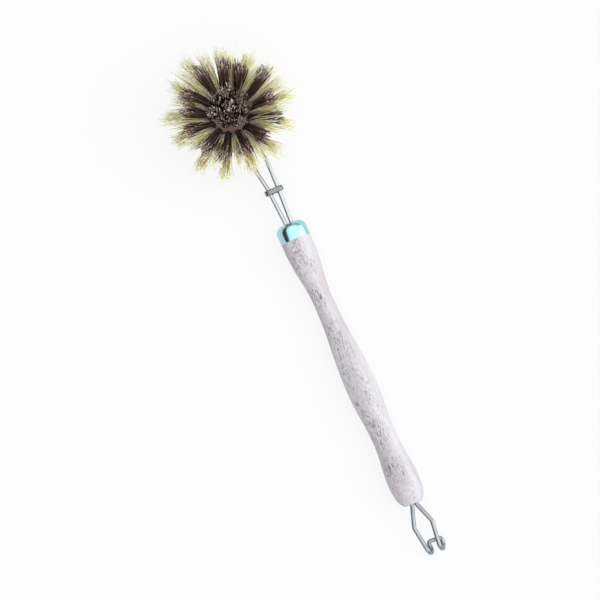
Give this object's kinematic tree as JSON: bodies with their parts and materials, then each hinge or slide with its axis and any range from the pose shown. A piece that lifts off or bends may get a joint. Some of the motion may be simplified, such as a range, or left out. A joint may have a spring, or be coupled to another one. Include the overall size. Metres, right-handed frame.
{
  "type": "dish brush",
  "caption": "Wooden dish brush: turned handle with a ferrule and wire hanging hook, and a round bristle head held in a wire clasp with a sliding locking ring.",
  "frame": {"origin": "centre of the head block's flat back, on the surface that the brush lies on", "axes": "+Z out of the bristles, +Y along the handle towards the head, X across the brush"},
  "size_m": [0.0687, 0.2844, 0.0466],
  "materials": {
    "pale_beech": "untreated, turned and sanded",
    "block_beech": "untreated, turned and drilled",
    "plated_metal": "bright plating with a blue tint",
    "ring_metal": "worn plating",
    "steel_wire": "bright drawn wire",
    "anchor_steel": "flat drawn wire",
    "pale_fibre": "stiff plant fibre bundle",
    "dark_fibre": "stiff plant fibre bundle"
  },
  "bodies": {
    "brush": {"handle": "pale_beech", "ferrule": "plated_metal", "clasp_wire": "steel_wire", "hanging_hook": "steel_wire"},
    "ring": {"locking_ring": "ring_metal"},
    "head": {"head_block": "block_beech", "tuft_anchors": "anchor_steel", "centre_tuft": "dark_fibre", "crown_tuft_01": "dark_fibre", "crown_tuft_02": "dark_fibre", "crown_tuft_03": "dark_fibre", "crown_tuft_04": "dark_fibre", "crown_tuft_05": "dark_fibre", "crown_tuft_06": "dark_fibre", "crown_tuft_07": "dark_fibre", "dark_tuft_01": "dark_fibre", "dark_tuft_02": "dark_fibre", "dark_tuft_03": "dark_fibre", "dark_tuft_04": "dark_fibre", "dark_tuft_05": "dark_fibre", "dark_tuft_06": "dark_fibre", "dark_tuft_07": "dark_fibre", "dark_tuft_08": "dark_fibre", "dark_tuft_09": "dark_fibre", "dark_tuft_10": "dark_fibre", "dark_tuft_11": "dark_fibre", "dark_tuft_12": "dark_fibre", "dark_tuft_13": "dark_fibre", "pale_inner_tuft_01": "pale_fibre", "pale_inner_tuft_02": "pale_fibre", "pale_inner_tuft_03": "pale_fibre", "pale_inner_tuft_04": "pale_fibre", "pale_inner_tuft_05": "pale_fibre", "pale_inner_tuft_06": "pale_fibre", "pale_inner_tuft_07": "pale_fibre", "pale_inner_tuft_08": "pale_fibre", "pale_inner_tuft_09": "pale_fibre", "pale_inner_tuft_10": "pale_fibre", "pale_inner_tuft_11": "pale_fibre", "pale_inner_tuft_12": "pale_fibre", "pale_inner_tuft_13": "pale_fibre", "pale_rim_tuft_01": "pale_fibre", "pale_rim_tuft_02": "pale_fibre", "pale_rim_tuft_03": "pale_fibre", "pale_rim_tuft_04": "pale_fibre", "pale_rim_tuft_05": "pale_fibre", "pale_rim_tuft_06": "pale_fibre", "pale_rim_tuft_07": "pale_fibre", "pale_rim_tuft_08": "pale_fibre", "pale_rim_tuft_09": "pale_fibre", "pale_rim_tuft_10": "pale_fibre", "pale_rim_tuft_11": "pale_fibre", "pale_rim_tuft_12": "pale_fibre", "pale_rim_tuft_13": "pale_fibre"}
  },
  "joints": [
    {"name": "ring_slide", "type": "slide", "parent": "brush", "child": "ring", "axis": [0, 1, 0], "range_m": [-0.0165, 0]},
    {"name": "head_release", "type": "slide", "parent": "brush", "child": "head", "axis": [0, 0, 1], "range_m": [0, 0.03]}
  ]
}
